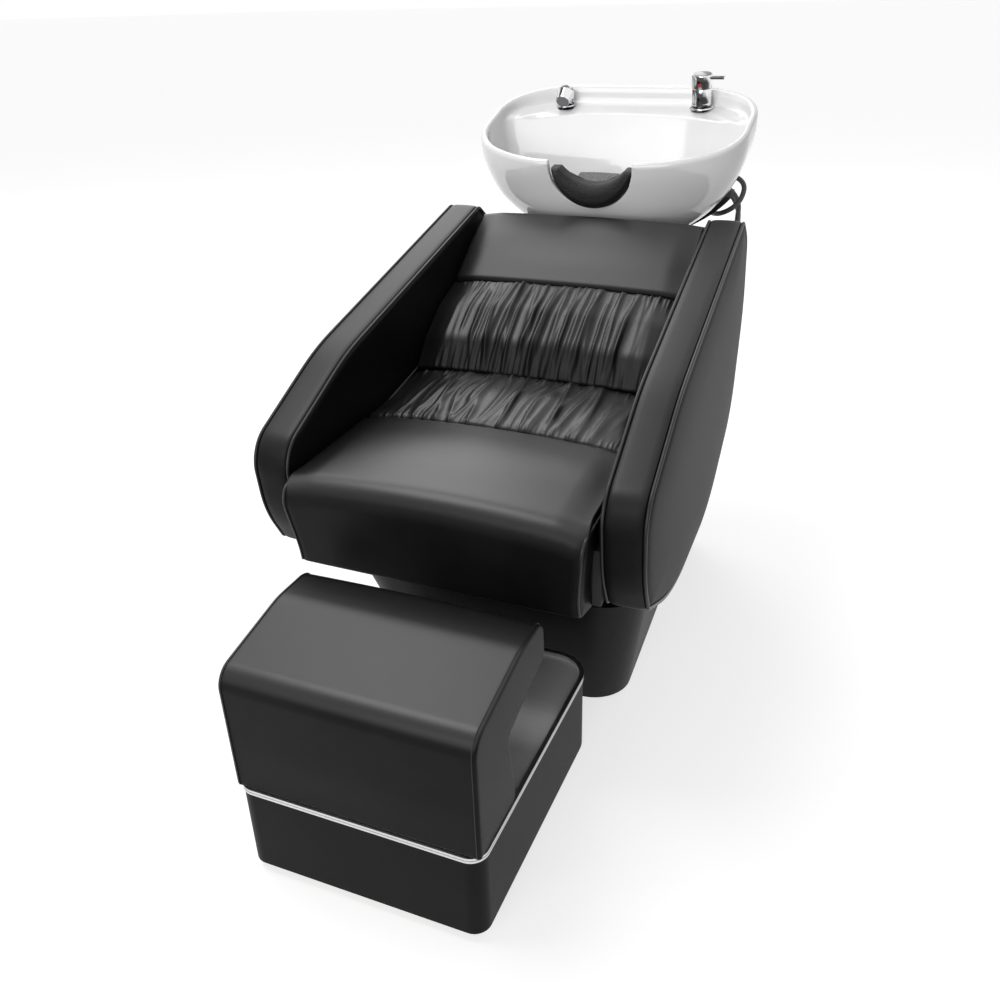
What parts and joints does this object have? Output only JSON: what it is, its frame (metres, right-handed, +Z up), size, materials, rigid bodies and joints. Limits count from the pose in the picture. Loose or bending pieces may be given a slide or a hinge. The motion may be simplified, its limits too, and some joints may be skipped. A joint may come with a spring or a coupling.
{
  "type": "hair washing bed",
  "caption": "Salon backwash unit: a padded reclining seat between leather arm slabs on a pedestal, a tilting ceramic basin with tap and handset behind it, and a loose padded footrest.",
  "frame": {"origin": "on the floor, under the middle of the whole unit", "axes": "+X to the right as seen from the footrest, +Y from the footrest to the basin, +Z up"},
  "size_m": [0.6878, 1.3948, 1.0759],
  "materials": {
    "black_leather": "smooth satin upholstery leather",
    "black_moulding": "matt black moulding",
    "board": "raw plywood, hidden",
    "glide_plastic": "matt black",
    "brushed_trim": "fine brushed",
    "painted_steel": "black powder coat",
    "zinc_steel": "zinc plated",
    "brass_fitting": "turned",
    "white_plastic": "smooth white",
    "white_ceramic": "high gloss glaze",
    "chrome": "mirror polish",
    "stem_brass": "turned",
    "red_mark": "gloss red",
    "grey_face": "fine dotted grey",
    "black_rubber": "matt black"
  },
  "bodies": {
    "chair": {"pedestal_shell": "black_leather", "right_arm_band": "black_leather", "left_arm_band": "black_leather", "arm_inner_covers": "black_leather", "right_arm_outer_cover": "black_leather", "left_arm_outer_cover": "black_leather", "seat_cushion": "black_leather", "seat_gathered_strip": "black_leather", "back_lumbar_panel": "black_leather", "back_head_panel": "black_leather", "arm_piping": "black_leather", "seat_piping": "black_leather", "column_shell": "black_moulding", "rear_access_panel": "black_moulding", "pedestal_floor_board": "board", "seat_frame": "board", "seat_board": "board", "arm_cores": "board", "back_board": "board", "chair_glides": "glide_plastic", "column_frame": "painted_steel", "arm_bolts": "zinc_steel", "rear_panel_screws": "zinc_steel", "pivot_bushes": "brass_fitting", "supply_inlets": "brass_fitting", "waste_pipe": "white_plastic"},
    "bowl": {"shampoo_bowl": "white_ceramic", "bowl_saddle": "black_moulding", "bowl_cradle": "painted_steel", "bowl_mounting_bolts": "zinc_steel", "tilt_pins": "zinc_steel", "drain_flange": "chrome", "drain_gasket": "black_rubber", "drain_nut": "white_plastic", "tap_base_ring": "chrome", "tap_body": "chrome", "deck_nuts": "zinc_steel", "handset_holder": "chrome", "hose_ferrules": "zinc_steel", "shower_hose": "black_rubber", "hot_supply_hose": "black_rubber", "cold_supply_hose": "black_rubber", "waste_hose": "black_rubber"},
    "tap_spindle": {"tap_spindle": "stem_brass"},
    "tap_lever": {"tap_cap": "chrome", "tap_lever": "chrome", "tap_dot": "red_mark"},
    "handset": {"handset": "chrome", "handset_spray_face": "grey_face"},
    "strainer": {"hair_strainer": "chrome"},
    "neck_rest": {"neck_rest": "black_rubber", "neck_rest_flap": "black_leather"},
    "footrest": {"footrest_base": "black_leather", "footrest_floor_board": "board", "footrest_glides": "glide_plastic", "footrest_trim": "brushed_trim", "footrest_step_plate": "brushed_trim", "footrest_pad": "black_leather", "footrest_pad_core": "board"}
  },
  "joints": [
    {"name": "bowl_tilt", "type": "hinge", "parent": "chair", "child": "bowl", "pos_m": [0, 0.52, 0.715], "axis": [1, 0, 0], "range_deg": [-12, 0], "deforming": ["hot_supply_hose", "cold_supply_hose", "waste_hose"]},
    {"name": "tap_turn", "type": "hinge", "parent": "bowl", "child": "tap_spindle", "pos_m": [0.152, 0.65604, 1.04537], "axis": [0, -0.1736, 0.9848], "range_deg": [-45, 45]},
    {"name": "tap_lift", "type": "hinge", "parent": "tap_spindle", "child": "tap_lever", "pos_m": [0.132, 0.65593, 1.04596], "axis": [0, -0.9848, -0.1736], "range_deg": [0, 20]},
    {"name": "handset_lift", "type": "slide", "parent": "bowl", "child": "handset", "axis": [0, -0.1736, 0.9848], "range_m": [0, 0.07]},
    {"name": "strainer_lift", "type": "slide", "parent": "bowl", "child": "strainer", "axis": [0, -0.1736, 0.9848], "range_m": [0, 0.04]},
    {"name": "neck_rest_lift", "type": "slide", "parent": "bowl", "child": "neck_rest", "axis": [0, -0.1736, 0.9848], "range_m": [0, 0.07]},
    {"name": "footrest_slide", "type": "slide", "parent": "chair", "child": "footrest", "axis": [0, -1, 0], "range_m": [0, 0.25]}
  ]
}
